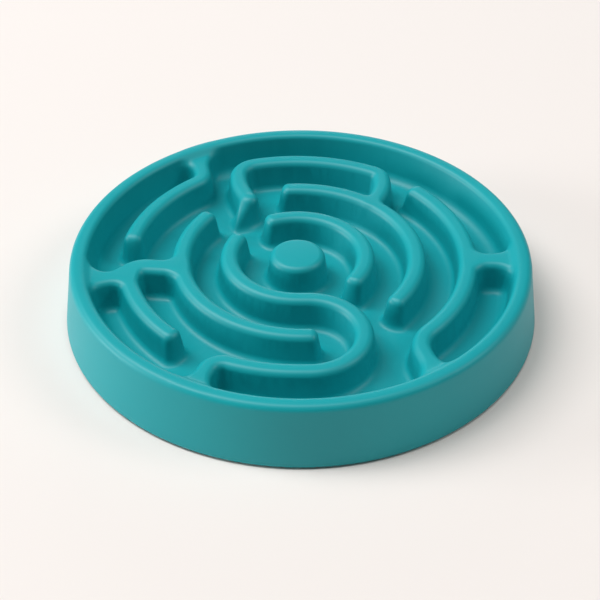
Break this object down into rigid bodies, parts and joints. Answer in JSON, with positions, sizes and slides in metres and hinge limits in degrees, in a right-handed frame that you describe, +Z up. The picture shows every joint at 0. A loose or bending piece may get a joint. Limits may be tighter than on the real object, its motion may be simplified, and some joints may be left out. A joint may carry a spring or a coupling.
{
  "type": "slow feeder bowl",
  "caption": "Round shallow moulded slow feeder bowl with a maze of rounded ridges round a central post, hollow underneath, standing on rubber feet plugged into bosses.",
  "frame": {"origin": "On the table, under the middle of the round dish, in the plane that the feet stand on.", "axes": "+Z is up, along the dish's axis. -Y is the front, the side that the camera sees. +X is to the camera's right."},
  "size_m": [0.2498, 0.2498, 0.0355],
  "materials": {
    "moulding": "fine matt moulded polypropylene, teal",
    "feet": "matt black rubber"
  },
  "bodies": {
    "root": {"bowl": "moulding", "foot_1": "feet", "foot_2": "feet", "foot_3": "feet", "foot_4": "feet", "foot_5": "feet", "foot_6": "feet"}
  },
  "joints": []
}
